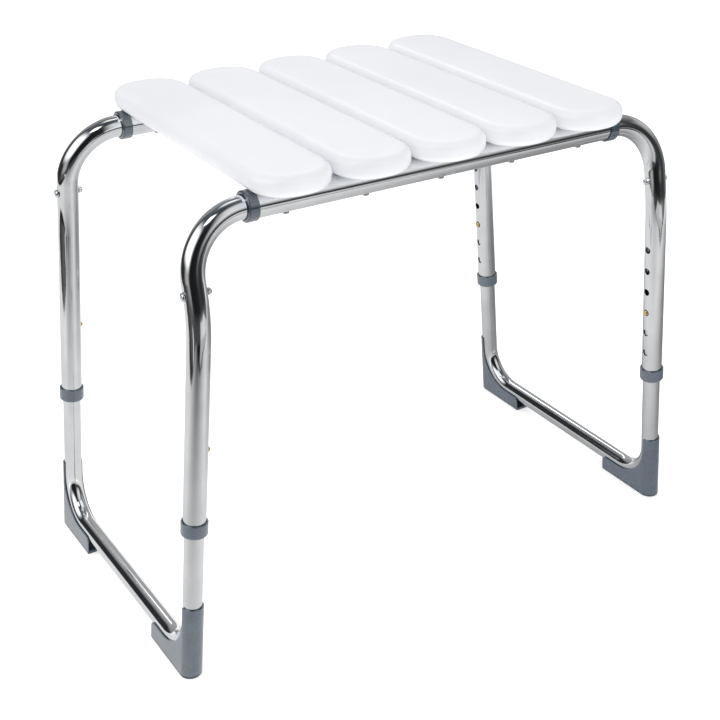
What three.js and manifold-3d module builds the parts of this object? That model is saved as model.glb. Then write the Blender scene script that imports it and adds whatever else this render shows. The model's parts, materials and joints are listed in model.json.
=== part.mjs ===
// A shower stool with five plastic slats on a bent-tube frame.
// Two rails carry the slats. A bent leg plugs into each rail end, and a U-shaped lower frame
// telescopes in each pair of legs, held by sprung brass snap buttons in a row of height holes.
//
// Millimetres. +X runs along the rails to the right, +Y to the back, +Z up.
// The origin is on the floor, under the middle of the seat.

import * as THREE from 'three';
import { mergeVertices } from 'three/addons/utils/BufferGeometryUtils.js';
import Module from 'manifold-3d';

const wasm = await Module();
wasm.setup();

// ---- driving dimensions ----

// tubes, each a running fit in the next: rail, upper leg, lower frame
const railRadius = 12.7;
const legRadius = 11.1;
const lowerRadius = 9.525;
const tubeWall = 1.2;
const gap = 0.3;

// seat
const slatCount = 5;
const slatPitch = 84;
const slatWidth = 79;
const slatLength = 356;
const slatThickness = 20.5;
const slatEdge = 8.5;
const slatEndRadius = 36;

// frame
const railHeight = 464;
const railOffset = 137;
const railHalfLength = 205.5;
const legInsert = 55;
const legSpan = 267;
const legOffset = 155.5;
const bendRadius = 56;
const kinkHeight = 376;
const kinkRadius = 220;
const splay = THREE.MathUtils.degToRad(5.25);

// height adjustment, measured along the splayed leg from the floor
const holePitch = 25.4;
const holesAbove = 3;
const holesBelow = 2;
const buttonHeight = 248;
const holeRadius = 3.7;
const lowerTubeAbove = 14;

// rail bushings, leg collars and feet
const bushingRadius = 14.6;
const bushingWidth = 10.6;
const collarRadius = 13.1;
const collarHeight = 14.6;
const collarLip = 3;
const collarBase = 160;
const sleeveChamfer = 1.6;
const footRadius = 11.2;
const footWall = 1.35;
const footReach = 70;
const footSleeve = 80;
const footTipRound = 5;
const footRibs = [30, 52];
const footRibWidth = 2;
const footSole = 3;
const lowerRailHeight = 20;
const lowerBendRadius = 45;

// fasteners
const boltHeight = 399.5;
const boltShank = 2.5;
const boltHead = 4.2;
const boltHeadHeight = 3;
const nutRadius = 3.7;
const nutHeight = 4.5;
const screwShank = 2;
const screwHead = 3.4;
const screwHeadHeight = 2.1;
const screwGrip = 12;
const screwClearance = 2.5;

// snap buttons and their V springs
const buttonProud = 2.6;
const flangeRadius = 4.2;
const flangeBase = 5.2;
const flangeTop = 6.4;
const springThickness = 0.7;
const springWidth = 6.5;
const wallLeaf = -6.5;
const springTop = 8;
const springFold = -10;
const springEnd = -38.5;

// facets round a tube, a small hole and a fastener
const tubeSides = 16;
const holeSides = 10;
const screwSides = 10;

// ---- worked out from them ----

const slatBase = railHeight + railRadius + gap;
const outerSlat = slatPitch * (slatCount - 1) / 2;
const footSpread = legSpan + Math.tan(splay) * kinkHeight;

// ---- materials ----

const finish = {
  slat: { color: 0xeef0f4, roughness: 0.32, metalness: 0 },
  chrome: { color: 0xc9cdd2, roughness: 0.1, metalness: 1 },
  plastic: { color: 0x69737f, roughness: 0.48, metalness: 0 },
  brass: { color: 0xc7a050, roughness: 0.25, metalness: 1 },
  steel: { color: 0xb4b8bd, roughness: 0.3, metalness: 1 },
};

// ---- making and cutting solids ----

// A manifold solid of a closed three.js geometry.
function solidOf(geometry) {
  const bare = geometry.clone();
  bare.deleteAttribute('normal');
  bare.deleteAttribute('uv');
  const merged = mergeVertices(bare, 1e-4);
  return new wasm.Manifold(new wasm.Mesh({
    numProp: 3,
    vertProperties: new Float32Array(merged.attributes.position.array),
    triVerts: new Uint32Array(merged.index.array),
  }));
}

// A three.js geometry of a manifold solid.
function geometryOf(solid) {
  const mesh = solid.getMesh();
  const geometry = new THREE.BufferGeometry();
  geometry.setAttribute('position', new THREE.BufferAttribute(mesh.vertProperties, 3));
  geometry.setIndex(new THREE.BufferAttribute(mesh.triVerts, 1));
  geometry.computeVertexNormals();
  return geometry;
}

// The geometry with every cutter taken out of it.
function cut(geometry, cutters) {
  let solid = solidOf(geometry);
  for (const cutter of cutters) {
    solid = solid.subtract(solidOf(cutter));
  }
  return geometryOf(solid);
}

// A round rod from one point to another.
function rod(radius, from, to, sides = holeSides) {
  const along = new THREE.Vector3().subVectors(to, from);
  const geometry = new THREE.CylinderGeometry(radius, radius, along.length(), sides);
  const turn = new THREE.Quaternion().setFromUnitVectors(
    new THREE.Vector3(0, 1, 0), along.clone().normalize());
  geometry.applyQuaternion(turn);
  geometry.translate(...new THREE.Vector3().addVectors(from, to).multiplyScalar(0.5));
  return geometry;
}

// The corner radius of a faceted bore whose flats are at the stated radius.
function boreRadius(radius) {
  return radius / Math.cos(Math.PI / tubeSides);
}

// The profile of a dome, from its rim to its crown on the axis.
function dome(radius, base, height) {
  const steps = 3;
  const points = [];
  for (let i = 0; i < steps; i++) {
    const angle = Math.PI / 2 * i / steps;
    points.push(new THREE.Vector2(radius * Math.cos(angle), base + height * Math.sin(angle)));
  }
  points.push(new THREE.Vector2(0, base + height));
  return points;
}

function addMesh(parent, name, geometry, look) {
  const mesh = new THREE.Mesh(geometry, new THREE.MeshStandardMaterial(finish[look]));
  mesh.name = name;
  parent.add(mesh);
  return mesh;
}

// ---- tubes ----

// A path of straight runs joined by arcs, with one station at each end of a run and several in each
// arc. An extrusion takes one step per station, so the straights stay single facets.
class BentPath extends THREE.Curve {
  constructor(corners, arcSteps) {
    super();
    this.stations = [];
    const last = corners.length - 1;
    const heading = (i) => new THREE.Vector3()
      .subVectors(corners[i + 1].at, corners[i].at).normalize();
    this.addStation(corners[0].at, heading(0));
    for (let i = 1; i < last; i++) {
      this.addArc(corners[i], heading(i - 1), heading(i), arcSteps[i - 1]);
    }
    this.addStation(corners[last].at, heading(last - 1));
  }

  addStation(at, tangent) {
    this.stations.push({ at: at.clone(), tangent: tangent.clone() });
  }

  addArc(corner, inward, outward, steps) {
    const turn = inward.angleTo(outward);
    const start = corner.at.clone().addScaledVector(inward, -corner.radius * Math.tan(turn / 2));
    const side = outward.clone().addScaledVector(inward, -inward.dot(outward)).normalize();
    const centre = start.clone().addScaledVector(side, corner.radius);
    for (let i = 0; i <= steps; i++) {
      const angle = turn * i / steps;
      const at = centre.clone()
        .addScaledVector(side, -corner.radius * Math.cos(angle))
        .addScaledVector(inward, corner.radius * Math.sin(angle));
      const tangent = inward.clone().multiplyScalar(Math.cos(angle))
        .addScaledVector(side, Math.sin(angle));
      this.addStation(at, tangent);
    }
  }

  get steps() {
    return this.stations.length - 1;
  }

  getPoint(t) {
    return this.stations[Math.round(t * this.steps)].at.clone();
  }

  getTangent(t) {
    return this.stations[Math.round(t * this.steps)].tangent.clone();
  }

  getUtoTmapping(u) {
    return u;
  }
}

function ringShape(outer, inner) {
  const shape = new THREE.Shape().absarc(0, 0, outer, 0, 2 * Math.PI);
  shape.holes.push(new THREE.Path().absarc(0, 0, inner, 0, 2 * Math.PI, true));
  return shape;
}

function tubeAlong(path, outer, inner) {
  return new THREE.ExtrudeGeometry(ringShape(outer, inner), {
    steps: path.steps,
    curveSegments: tubeSides / 2,
    extrudePath: path,
  });
}

// ---- seat ----

function slatOutline() {
  const half = slatWidth / 2 - slatEndRadius;
  const reach = slatLength / 2 - slatEndRadius;
  const shape = new THREE.Shape();
  shape.absarc(half, reach, slatEndRadius, 0, Math.PI / 2);
  shape.absarc(-half, reach, slatEndRadius, Math.PI / 2, Math.PI);
  shape.absarc(-half, -reach, slatEndRadius, Math.PI, 1.5 * Math.PI);
  shape.absarc(half, -reach, slatEndRadius, 1.5 * Math.PI, 2 * Math.PI);
  return shape;
}

// One board about its own middle, with a blind pilot hole over each rail. An end board is also
// relieved where its rounded edge passes over the rail bushings.
function slatGeometry(endSide) {
  const board = new THREE.ExtrudeGeometry(slatOutline(), {
    depth: slatThickness - 2 * slatEdge,
    curveSegments: 3,
    bevelThickness: slatEdge,
    bevelSize: slatEdge,
    bevelOffset: -slatEdge,
    bevelSegments: 3,
  });
  board.translate(0, 0, slatEdge);
  const cutters = [];
  for (const y of [-railOffset, railOffset]) {
    cutters.push(rod(screwClearance,
      new THREE.Vector3(0, y, -1), new THREE.Vector3(0, y, screwGrip + gap)));
    if (endSide !== 0) {
      const height = railHeight - slatBase;
      cutters.push(rod(bushingRadius + 2 * gap,
        new THREE.Vector3(endSide * (railHalfLength - outerSlat - bushingWidth), y, height),
        new THREE.Vector3(endSide * slatWidth, y, height), tubeSides * 2));
    }
  }
  return cut(board, cutters);
}

function addSeat(parent) {
  for (let i = 0; i < slatCount; i++) {
    const column = i - (slatCount - 1) / 2;
    const endSide = Math.abs(column) === (slatCount - 1) / 2 ? Math.sign(column) : 0;
    const slat = addMesh(parent, `slat_${i + 1}`, slatGeometry(endSide), 'slat');
    slat.position.set(column * slatPitch, 0, slatBase);
  }
}

// A pan-head screw, point up, with the underside of its head at z = 0.
function screwGeometry() {
  const stopsShort = 1;
  const reach = slatBase - railHeight + railRadius + gap + screwGrip - stopsShort;
  const skirt = screwHeadHeight / 3;
  const profile = [
    ...dome(screwHead, -skirt, skirt - screwHeadHeight).reverse(),
    new THREE.Vector2(screwHead, 0),
    new THREE.Vector2(screwShank, 0),
    new THREE.Vector2(screwShank, reach - 2 * screwShank),
    new THREE.Vector2(0, reach),
  ];
  const geometry = new THREE.LatheGeometry(profile, screwSides);
  geometry.rotateX(Math.PI / 2);
  return geometry;
}

function addScrews(parent) {
  for (const [row, side] of [['front', -1], ['rear', 1]]) {
    for (let i = 0; i < slatCount; i++) {
      const screw = addMesh(parent, `slat_screw_${row}_${i + 1}`, screwGeometry(), 'steel');
      screw.position.set(
        (i - (slatCount - 1) / 2) * slatPitch, side * railOffset, railHeight - railRadius - gap);
    }
  }
}

// ---- rails and upper legs ----

// Upright holes for the slat screws, through both walls of a tube that lies along X.
function screwHoles(columns, y) {
  return columns.map((x) => rod(screwClearance,
    new THREE.Vector3(x, y, railHeight - 2 * railRadius),
    new THREE.Vector3(x, y, railHeight + 2 * railRadius)));
}

function railGeometry(side) {
  const path = new BentPath([
    { at: new THREE.Vector3(-railHalfLength, side * railOffset, railHeight) },
    { at: new THREE.Vector3(railHalfLength, side * railOffset, railHeight) },
  ], []);
  const columns = [];
  for (let i = 0; i < slatCount; i++) {
    columns.push((i - (slatCount - 1) / 2) * slatPitch);
  }
  const tube = tubeAlong(path, railRadius, boreRadius(railRadius - tubeWall));
  return cut(tube, screwHoles(columns, side * railOffset));
}

// A point on a splayed leg's axis, at a height measured along the leg from the floor.
function legPoint(across, back, height) {
  return new THREE.Vector3(
    across * (footSpread - height * Math.sin(splay)), back * legOffset, height * Math.cos(splay));
}

// The leg plugs into its rail, bends down and slightly outward to the front or back, and then
// kinks into the straight, splayed run that the lower frame slides in.
function upperLegGeometry(across, back) {
  const path = new BentPath([
    { at: new THREE.Vector3(across * (railHalfLength - legInsert), back * railOffset, railHeight) },
    { at: new THREE.Vector3(across * legSpan, back * railOffset, railHeight), radius: bendRadius },
    { at: new THREE.Vector3(across * legSpan, back * legOffset, kinkHeight), radius: kinkRadius },
    { at: legPoint(across, back, collarBase + collarLip) },
  ], [6, 2]);
  const cutters = screwHoles([across * outerSlat], back * railOffset);
  const boltAt = boltPoint(across, back);
  const boltReach = new THREE.Vector3(2 * legRadius, 0, 0);
  cutters.push(rod(boltShank + gap, boltAt.clone().sub(boltReach), boltAt.clone().add(boltReach)));
  const inward = new THREE.Vector3(-across * Math.cos(splay), 0, -Math.sin(splay));
  for (let i = -holesBelow; i <= holesAbove; i++) {
    const at = legPoint(across, back, buttonHeight + i * holePitch);
    cutters.push(rod(holeRadius, at, at.clone().addScaledVector(inward, 2 * legRadius)));
  }
  return cut(tubeAlong(path, legRadius, boreRadius(legRadius - tubeWall)), cutters);
}

// Where the leg's axis crosses the height of the bolt, between the bend and the kink.
function boltPoint(across, back) {
  const down = (railHeight - boltHeight) / (railHeight - kinkHeight);
  return new THREE.Vector3(
    across * legSpan, back * THREE.MathUtils.lerp(railOffset, legOffset, down), boltHeight);
}

// A stepped sleeve about +Z: the wide bore takes one tube's end, the narrow bore passes the next.
// Its narrow end has a large chamfer, and its wide end half of that.
function steppedSleeve(outer, wideBore, narrowBore, length, lip, chamfer) {
  const profile = [
    new THREE.Vector2(narrowBore, 0),
    new THREE.Vector2(outer - chamfer, 0),
    new THREE.Vector2(outer, chamfer),
    new THREE.Vector2(outer, length - chamfer / 2),
    new THREE.Vector2(outer - chamfer / 2, length),
    new THREE.Vector2(wideBore, length),
    new THREE.Vector2(wideBore, lip),
    new THREE.Vector2(narrowBore, lip),
    new THREE.Vector2(narrowBore, 0),
  ];
  const geometry = new THREE.LatheGeometry(profile, tubeSides);
  geometry.rotateX(Math.PI / 2);
  return geometry;
}

function addBushing(parent, name, across, back) {
  const lip = bushingWidth / 2;
  const geometry = steppedSleeve(bushingRadius, boreRadius(railRadius + gap),
    boreRadius(legRadius + gap), bushingWidth, lip - gap, sleeveChamfer);
  const bushing = addMesh(parent, name, geometry, 'plastic');
  bushing.rotation.y = -across * Math.PI / 2;
  bushing.position.set(across * (railHalfLength + lip), back * railOffset, railHeight);
}

// A domed bolt through the leg, head outward, and a cap nut on the side that faces the centre.
function addBoltAndNut(parent, corner, across, back) {
  const seatAt = legRadius + gap;
  const threadEnd = -seatAt - nutHeight / 2;
  const headSkirt = boltHeadHeight / 3;
  const boltProfile = [
    new THREE.Vector2(0, threadEnd),
    new THREE.Vector2(boltShank, threadEnd),
    new THREE.Vector2(boltShank, seatAt),
    new THREE.Vector2(boltHead, seatAt),
    ...dome(boltHead, seatAt + headSkirt, boltHeadHeight - headSkirt),
  ];
  const nutBore = boltShank + gap;
  const nutProfile = [
    new THREE.Vector2(0, threadEnd - gap),
    new THREE.Vector2(nutBore, threadEnd - gap),
    new THREE.Vector2(nutBore, -seatAt),
    new THREE.Vector2(nutRadius, -seatAt),
    ...dome(nutRadius, -seatAt - nutHeight / 2, -nutHeight / 2),
  ];
  const bolt = new THREE.LatheGeometry(boltProfile, screwSides);
  const nut = new THREE.LatheGeometry(nutProfile.reverse(), screwSides);
  for (const [name, geometry] of [['leg_bolt', bolt], ['cap_nut', nut]]) {
    const mesh = addMesh(parent, `${name}_${corner}`, geometry, 'steel');
    mesh.rotation.z = -across * Math.PI / 2;
    mesh.position.copy(boltPoint(across, back));
  }
}

// ---- lower frames ----

function lowerFrameGeometry(across) {
  const top = buttonHeight + lowerTubeAbove;
  const path = new BentPath([
    { at: new THREE.Vector3(0, -legOffset, top) },
    { at: new THREE.Vector3(0, -legOffset, lowerRailHeight), radius: lowerBendRadius },
    { at: new THREE.Vector3(0, legOffset, lowerRailHeight), radius: lowerBendRadius },
    { at: new THREE.Vector3(0, legOffset, top) },
  ], [6, 6]);
  const cutters = [-legOffset, legOffset].map((y) => rod(holeRadius,
    new THREE.Vector3(0, y, buttonHeight),
    new THREE.Vector3(-across * 2 * lowerRadius, y, buttonHeight)));
  return cut(tubeAlong(path, lowerRadius, boreRadius(lowerRadius - tubeWall)), cutters);
}

// The side view of a foot, with Y toward the middle of the lower frame and the leg's axis at 0: a
// tall sleeve outside the leg, a low tip under the lower rail, and between them an edge along the
// tube's own centre line, so that the foot is a half sleeve all the way.
function footSideShape() {
  const outside = -2 * footRadius;
  const shape = new THREE.Shape();
  shape.moveTo(outside, outside);
  shape.lineTo(footReach, outside);
  shape.absarc(footReach - footTipRound, lowerRailHeight - footTipRound, footTipRound, 0, Math.PI / 2);
  shape.absarc(
    lowerBendRadius, lowerRailHeight + lowerBendRadius, lowerBendRadius, -Math.PI / 2, -Math.PI, true);
  shape.lineTo(0, footSleeve);
  shape.lineTo(outside, footSleeve);
  shape.closePath();
  return shape;
}

// The plan of a foot: a half-round nose about the leg's axis and straight sides to the tip.
function footPlanShape(radius, reach) {
  const shape = new THREE.Shape();
  shape.moveTo(reach, -radius);
  shape.lineTo(reach, radius);
  shape.lineTo(0, radius);
  shape.absarc(0, 0, radius, Math.PI / 2, 1.5 * Math.PI);
  shape.closePath();
  return shape;
}

// An upright prism of the foot's plan, its nose toward -Y.
function footPrism(radius, base) {
  const prism = new THREE.ExtrudeGeometry(footPlanShape(radius, 2 * footReach), {
    depth: footSleeve + 4 * footRadius,
    bevelEnabled: false,
    curveSegments: 6,
  });
  prism.rotateZ(Math.PI / 2);
  prism.translate(0, 0, base);
  return prism;
}

// A foot at its own leg, Y toward the middle, with its sole flat on the floor although the leg
// leans. It is a thin shell, open inward and at the tip, with ribs that the lower rail rests on.
function footGeometry(lean) {
  const side = new THREE.ExtrudeGeometry(footSideShape(), {
    depth: 4 * footRadius,
    bevelEnabled: false,
    curveSegments: 5,
  });
  side.rotateY(Math.PI / 2);
  side.rotateX(Math.PI / 2);
  side.translate(-2 * footRadius, 0, 0);
  const inner = footRadius - footWall;
  let body = solidOf(side)
    .intersect(solidOf(footPrism(footRadius, -2 * footRadius)))
    .subtract(solidOf(footPrism(inner, footSole)));
  const ribTop = lowerRailHeight - lowerRadius - 2 * gap;
  for (const y of footRibs) {
    const rib = new THREE.BoxGeometry(2 * inner + footWall, footRibWidth, ribTop);
    rib.translate(0, y, ribTop / 2);
    body = body.add(solidOf(rib));
  }
  const floor = new THREE.BoxGeometry(8 * footRadius, 4 * footReach, 4 * footRadius);
  floor.translate(0, 0, -2 * footRadius);
  floor.rotateY(lean);
  return geometryOf(body.subtract(solidOf(floor)));
}

// ---- snap buttons ----

// A domed button about +Z, whose flange stays inside the lower tube. z = 0 is the tube's axis.
function buttonGeometry() {
  const buttonRadius = holeRadius - 2 * gap;
  const profile = [
    new THREE.Vector2(0, flangeBase),
    new THREE.Vector2(flangeRadius, flangeBase),
    new THREE.Vector2(flangeRadius, flangeTop),
    new THREE.Vector2(buttonRadius, flangeTop),
    ...dome(buttonRadius, legRadius, buttonProud),
  ];
  const geometry = new THREE.LatheGeometry(profile, holeSides);
  geometry.rotateX(Math.PI / 2);
  return geometry;
}

// A bent strip: both sides of a centre line, offset by half the thickness.
function stripShape(points, thickness) {
  const sides = [[], []];
  points.forEach((point, i) => {
    const before = points[Math.max(i - 1, 0)];
    const after = points[Math.min(i + 1, points.length - 1)];
    const along = after.clone().sub(before).normalize();
    const normal = new THREE.Vector2(-along.y, along.x).multiplyScalar(thickness / 2);
    sides[0].push(point.clone().add(normal));
    sides[1].unshift(point.clone().sub(normal));
  });
  return new THREE.Shape([...sides[0], ...sides[1]]);
}

// The V spring behind a button: one leaf bears on the tube's far wall, one on the button's flange.
function springGeometry() {
  const buttonLeaf = flangeBase - springThickness;
  const middle = (wallLeaf + buttonLeaf) / 2;
  const turn = 2 * springThickness;
  const strip = stripShape([
    new THREE.Vector2(wallLeaf, springTop),
    new THREE.Vector2(wallLeaf, springFold),
    new THREE.Vector2(middle - turn, springEnd + turn),
    new THREE.Vector2(middle, springEnd),
    new THREE.Vector2(middle + turn, springEnd + turn),
    new THREE.Vector2(buttonLeaf, springFold),
    new THREE.Vector2(buttonLeaf, springTop),
  ], springThickness);
  const geometry = new THREE.ExtrudeGeometry(strip, { depth: springWidth, bevelEnabled: false });
  geometry.translate(0, 0, -springWidth / 2);
  geometry.rotateX(Math.PI / 2);
  return geometry;
}

// ---- the stool ----

function addLowerSide(parent, sideName, across) {
  const leaning = new THREE.Group();
  leaning.position.x = across * footSpread;
  leaning.rotation.y = -across * splay;
  parent.add(leaning);
  addMesh(leaning, `lower_frame_${sideName}`, lowerFrameGeometry(across), 'chrome');
  for (const [rowName, back] of [['front', -1], ['rear', 1]]) {
    const corner = `${rowName}_${sideName}`;
    const turned = back > 0 ? Math.PI : 0;

    const foot = addMesh(leaning, `foot_${corner}`, footGeometry(-across * back * splay), 'plastic');
    foot.position.y = back * legOffset;
    foot.rotation.z = turned;

    const sleeve = steppedSleeve(collarRadius, boreRadius(legRadius + gap),
      boreRadius(lowerRadius + gap), collarHeight, collarLip - gap, sleeveChamfer);
    const collar = addMesh(leaning, `leg_collar_${corner}`, sleeve, 'plastic');
    collar.position.set(0, back * legOffset, collarBase);

    const button = addMesh(leaning, `snap_button_${corner}`, buttonGeometry(), 'brass');
    button.position.set(0, back * legOffset, buttonHeight);
    button.rotation.y = -across * Math.PI / 2;

    const spring = addMesh(leaning, `snap_spring_${corner}`, springGeometry(), 'steel');
    spring.position.set(0, back * legOffset, buttonHeight);
    spring.rotation.z = across > 0 ? Math.PI : 0;
  }
}

const stool = new THREE.Group();
addSeat(stool);
addScrews(stool);
addMesh(stool, 'front_rail', railGeometry(-1), 'chrome');
addMesh(stool, 'rear_rail', railGeometry(1), 'chrome');
for (const [sideName, across] of [['left', -1], ['right', 1]]) {
  for (const [rowName, back] of [['front', -1], ['rear', 1]]) {
    const corner = `${rowName}_${sideName}`;
    addMesh(stool, `upper_leg_${corner}`, upperLegGeometry(across, back), 'chrome');
    addBushing(stool, `rail_bushing_${corner}`, across, back);
    addBoltAndNut(stool, corner, across, back);
  }
  addLowerSide(stool, sideName, across);
}

export default stool;
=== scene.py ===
"""The shower stool's looks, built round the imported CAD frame.

Metres. +X runs along the rails to the right, +Y to the back, +Z up. Every piece here stands for one
CAD node, takes its place and size from the frame, and rides on that node's body.
"""

import json
import math

import bmesh
import bpy
from mathutils import Matrix, Vector

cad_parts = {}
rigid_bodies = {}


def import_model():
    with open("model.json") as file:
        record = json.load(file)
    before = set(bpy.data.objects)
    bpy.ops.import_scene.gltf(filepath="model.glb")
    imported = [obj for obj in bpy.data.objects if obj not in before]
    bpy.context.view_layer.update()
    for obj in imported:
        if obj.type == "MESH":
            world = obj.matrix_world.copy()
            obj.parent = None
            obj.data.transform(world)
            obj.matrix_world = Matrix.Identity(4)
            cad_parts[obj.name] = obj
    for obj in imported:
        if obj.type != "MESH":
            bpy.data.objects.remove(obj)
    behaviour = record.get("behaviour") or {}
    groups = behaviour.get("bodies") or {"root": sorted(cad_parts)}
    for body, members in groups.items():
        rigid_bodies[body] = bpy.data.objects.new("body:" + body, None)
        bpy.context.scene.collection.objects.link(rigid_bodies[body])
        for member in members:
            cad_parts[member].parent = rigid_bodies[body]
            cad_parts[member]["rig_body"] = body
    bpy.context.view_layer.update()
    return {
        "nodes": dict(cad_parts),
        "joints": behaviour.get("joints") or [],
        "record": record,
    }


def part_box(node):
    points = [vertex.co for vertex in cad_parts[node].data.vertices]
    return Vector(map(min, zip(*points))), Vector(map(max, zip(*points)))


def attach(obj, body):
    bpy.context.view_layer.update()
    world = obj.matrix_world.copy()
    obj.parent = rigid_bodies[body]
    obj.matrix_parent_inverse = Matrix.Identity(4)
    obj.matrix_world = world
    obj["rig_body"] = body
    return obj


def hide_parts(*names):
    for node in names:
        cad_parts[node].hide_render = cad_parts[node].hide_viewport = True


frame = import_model()

MM = 0.001
INCH = 25.4 * MM
X_AXIS = Vector((1, 0, 0))
Y_AXIS = Vector((0, 1, 0))
Z_AXIS = Vector((0, 0, 1))
SIDES = {"left": -1, "right": 1}
ROWS = {"front": -1, "rear": 1}
CORNERS = [(row, side) for side in SIDES for row in ROWS]
SLATS = range(1, 6)

# ---- dimensions read from the frame ----


def middle_and_half(node):
    """The middle of a node's box and half its size."""
    low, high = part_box(node)
    return (low + high) / 2, (high - low) / 2


rail_middle, rail_half = middle_and_half("rear_rail")
RAIL_RADIUS = rail_half.z
RAIL_HEIGHT = rail_middle.z
RAIL_OFFSET = rail_middle.y
RAIL_HALF_LENGTH = rail_half.x

leg_low, leg_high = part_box("upper_leg_rear_right")
LEG_RADIUS = leg_high.z - RAIL_HEIGHT
LEG_INNER_END = leg_low.x

collar_middle, collar_half = middle_and_half("leg_collar_rear_right")
LEG_OFFSET = collar_middle.y
COLLAR_RADIUS = collar_half.y

bushing_half = middle_and_half("rail_bushing_rear_right")[1]
BUSHING_RADIUS = bushing_half.z
BUSHING_WIDTH = 2 * bushing_half.x

slat_middle, slat_half = middle_and_half("slat_3")
SLAT_BASE = slat_middle.z - slat_half.z

bolt_middle, bolt_half = middle_and_half("leg_bolt_rear_right")
BOLT_HEIGHT = bolt_middle.z
BOLT_HEAD_RADIUS = bolt_half.z

slide = next(joint for joint in frame["joints"] if joint["name"] == "left_height_slide")
SPLAY = math.atan2(slide["axis"][0], slide["axis"][2])
COLLAR_MIDDLE = collar_middle.z / math.cos(SPLAY)
sole = next(mount for mount in frame["record"]["mounts"] if mount["name"] == "sole_rear_right")
FOOT_SPREAD = sole["pos_m"][0]

# ---- dimensions that the boxes don't give, as the CAD part has them ----

TUBE_WALL = 1.2 * MM
GAP = 0.3 * MM
LOWER_RADIUS = 0.375 * INCH
HOLE_PITCH = INCH
HOLE_STEPS = range(-2, 4)
HOLE_RADIUS = 3.7 * MM
BUTTON_HEIGHT = 248 * MM
LOWER_TUBE_ABOVE = 14 * MM
BEND_RADIUS = 56 * MM
KINK_HEIGHT = 376 * MM
KINK_RADIUS = 220 * MM
LEG_SPAN = FOOT_SPREAD - math.tan(SPLAY) * KINK_HEIGHT
SLAT_EDGE = 8.5 * MM
SLAT_END_RADIUS = 36 * MM
COLLAR_HEIGHT = 14.6 * MM
COLLAR_LIP = 3 * MM
FOOT_RADIUS = 11.2 * MM
FOOT_WALL = 1.35 * MM
FOOT_REACH = 70 * MM
FOOT_SLEEVE = 80 * MM
FOOT_TIP_ROUND = 5 * MM
FOOT_SOLE = 3 * MM
FOOT_RIBS = (30 * MM, 52 * MM)
FOOT_RIB_WIDTH = 2 * MM
LOWER_RAIL_HEIGHT = 20 * MM
LOWER_BEND_RADIUS = 45 * MM
SCREW_SHANK = 2 * MM
SCREW_HEAD = 3.4 * MM
SCREW_CLEARANCE = 2.5 * MM
BOLT_SHANK = 2.5 * MM
NUT_RADIUS = 3.7 * MM


def leaning(side):
    """The frame of a side's lower tube: +Z up along its splayed legs, the origin on the floor."""
    across = SIDES[side]
    return (Matrix.Translation((across * FOOT_SPREAD, 0, 0))
            @ Matrix.Rotation(-across * SPLAY, 4, "Y"))


def corner_frame(row, side):
    """The same at one leg, its origin where the leg's axis meets the floor."""
    return leaning(side) @ Matrix.Translation((0, ROWS[row] * LEG_OFFSET, 0))


# ---- meshes ----

BAR_SIDES = 32


class Shell:
    """Points, faces, and for each point its exact normal and its place along and round a tube."""

    def __init__(self):
        self.points = []
        self.normals = []
        self.places = []
        self.faces = []

    def add(self, point, normal=None, place=(0, 0)):
        self.points.append(point)
        self.normals.append(normal)
        self.places.append(place)
        return len(self.points) - 1

    def strip(self, a, b, closed=False):
        """Quads between two rows of points with the same count."""
        count = len(a)
        for i in range(count if closed else count - 1):
            j = (i + 1) % count
            self.faces.append([a[i], a[j], b[j], b[i]])

    def mesh(self, name):
        """A smooth mesh with the exact normals, if all are given, and the places as its UVs."""
        made = bpy.data.meshes.new(name)
        made.from_pydata(self.points, [], self.faces)
        work = bmesh.new()
        work.from_mesh(made)
        bmesh.ops.recalc_face_normals(work, faces=work.faces)
        work.to_mesh(made)
        work.free()
        made.polygons.foreach_set("use_smooth", [True] * len(made.polygons))
        layer = made.uv_layers.new(name="along_and_round")
        for face in made.polygons:
            rounds = [self.places[v][1] for v in face.vertices]
            for loop, v in zip(face.loop_indices, face.vertices):
                along, turn = self.places[v]
                wrapped = turn + 1 if max(rounds) - turn > 0.5 else turn
                layer.data[loop].uv = (along, wrapped)
        if all(normal is not None for normal in self.normals):
            made.normals_split_custom_set_from_vertices(self.normals)
        return made


def new_object(name, data):
    made = bpy.data.objects.new(name, data)
    bpy.context.scene.collection.objects.link(made)
    return made


def new_mesh(name, work):
    """A mesh of what a bmesh holds."""
    made = bpy.data.meshes.new(name)
    work.to_mesh(made)
    work.free()
    return made


def show(node, mesh, material, placement=Matrix.Identity(4)):
    """Makes the piece that stands for a CAD node."""
    placed = mesh.copy()
    placed.transform(placement)
    placed.materials.append(material)
    piece = new_object(f"{node}_fine", placed)
    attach(piece, frame["nodes"][node]["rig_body"])
    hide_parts(node)


def applied(mesh, kind, **settings):
    """The mesh after a modifier."""
    holder = new_object("holder", mesh)
    modifier = holder.modifiers.new(kind.lower(), kind)
    for key, value in settings.items():
        setattr(modifier, key, value)
    evaluated = holder.evaluated_get(bpy.context.evaluated_depsgraph_get())
    made = bpy.data.meshes.new_from_object(evaluated)
    bpy.data.objects.remove(holder)
    return made


def combined(mesh, others, operation):
    """The mesh with closed meshes cut out of it (DIFFERENCE) or joined to it (UNION)."""
    for other in others:
        tool = new_object("tool", other)
        mesh = applied(mesh, "BOOLEAN", object=tool, operation=operation, solver="EXACT")
        bpy.data.objects.remove(tool)
    return mesh


def rounded(mesh, width, segments):
    """The mesh with its edges rounded."""
    return applied(mesh, "BEVEL", width=width, segments=segments, limit_method="ANGLE",
                   angle_limit=math.radians(50))


def block(low, high):
    """A closed rectangular cutter or rib between two corners."""
    work = bmesh.new()
    bmesh.ops.create_cube(work, size=1)
    size = Vector(high) - Vector(low)
    middle = (Vector(high) + Vector(low)) / 2
    work.transform(Matrix.Translation(middle) @ Matrix.Diagonal((*size, 1)))
    return new_mesh("block", work)


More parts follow.
